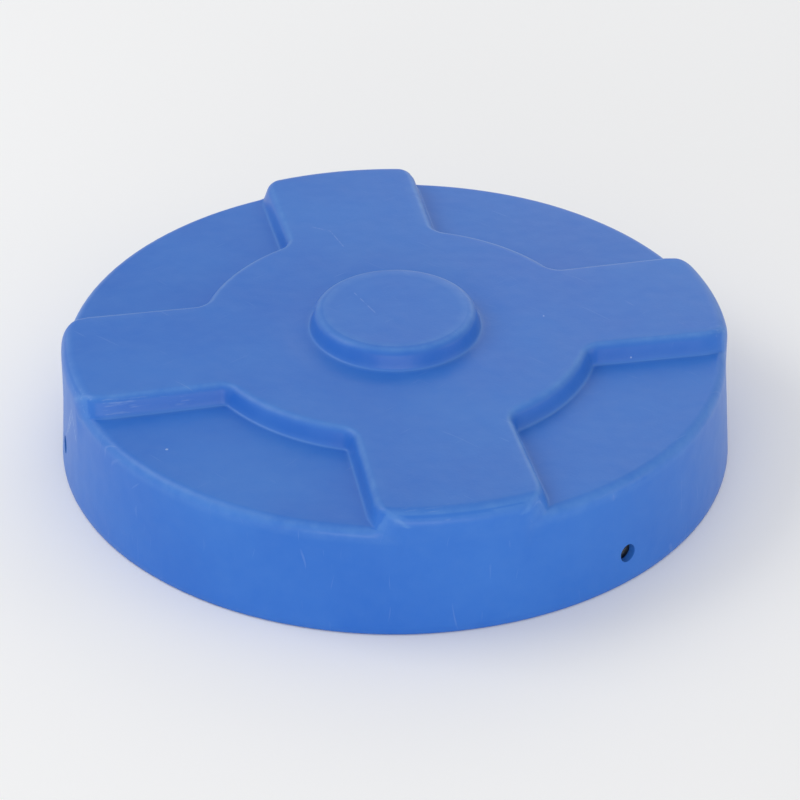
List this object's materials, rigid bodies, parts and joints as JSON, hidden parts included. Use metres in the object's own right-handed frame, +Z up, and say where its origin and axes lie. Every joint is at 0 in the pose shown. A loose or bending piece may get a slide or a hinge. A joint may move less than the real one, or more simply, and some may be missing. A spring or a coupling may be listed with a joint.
{
  "type": "livestock water trough float valve cover",
  "caption": "Round moulded cover with a raised cross and boss over a mounting ring that carries a float valve for a livestock water trough.",
  "frame": {"origin": "centre of the plane that the cover's skirt and the mounting ring stand on", "axes": "+Z up, the arms of the raised cross along +X, +Y, -X and -Y, the float towards +X and the water inlet towards -X"},
  "size_m": [0.512, 0.512, 0.1155],
  "materials": {
    "blue_polyethylene": "rotomoulded, satin, lightly scuffed",
    "galvanised_steel": "hot dip galvanised, dull spangle",
    "plain_steel": "plain weld nut steel, zinc coated",
    "zinc_plated_steel": "bright zinc plate",
    "cast_brass": "cast, dull",
    "turned_brass": "turned, bright",
    "stainless_steel": "drawn",
    "white_nylon": "moulded",
    "black_polyethylene": "extruded",
    "black_rubber": "moulded",
    "float_polyethylene": "blow moulded, orange red"
  },
  "bodies": {
    "base": {"ring_band": "galvanised_steel", "ring_flange": "galvanised_steel", "cover_weld_nuts": "plain_steel", "bridge_studs": "zinc_plated_steel", "valve_bridge": "galvanised_steel", "bridge_washers": "zinc_plated_steel", "bridge_nuts": "zinc_plated_steel", "valve_bracket": "galvanised_steel", "bracket_bolts": "zinc_plated_steel", "bracket_washers": "zinc_plated_steel", "bracket_nuts": "zinc_plated_steel", "valve_body": "cast_brass", "valve_seat": "white_nylon", "outlet_tube": "black_polyethylene", "shoulder_seal": "black_rubber", "inlet_backnut": "turned_brass", "barrel_cap": "turned_brass", "pivot_pin": "stainless_steel", "split_pin": "stainless_steel"},
    "cover": {"cover_shell": "blue_polyethylene"},
    "float_lever": {"lever": "cast_brass", "float_rod": "stainless_steel", "rod_locknuts": "turned_brass", "float_insert": "turned_brass", "float_body": "float_polyethylene"},
    "valve_piston": {"piston": "turned_brass", "piston_cap": "turned_brass", "piston_washer": "black_rubber"}
  },
  "joints": [
    {"name": "cover_lift", "type": "slide", "parent": "base", "child": "cover", "axis": [0, 0, 1], "range_m": [0, 0.15]},
    {"name": "float_swing", "type": "hinge", "parent": "base", "child": "float_lever", "pos_m": [0.002, 0, 0.051], "axis": [0, -1, 0], "range_deg": [0, 13]},
    {"name": "piston_slide", "type": "slide", "parent": "base", "child": "valve_piston", "axis": [-1, 0, 0], "range_m": [0, 0.0041]}
  ],
  "couplings": [
    {"joint": "piston_slide", "follows": "float_swing", "m_per_rad": 0.018}
  ]
}
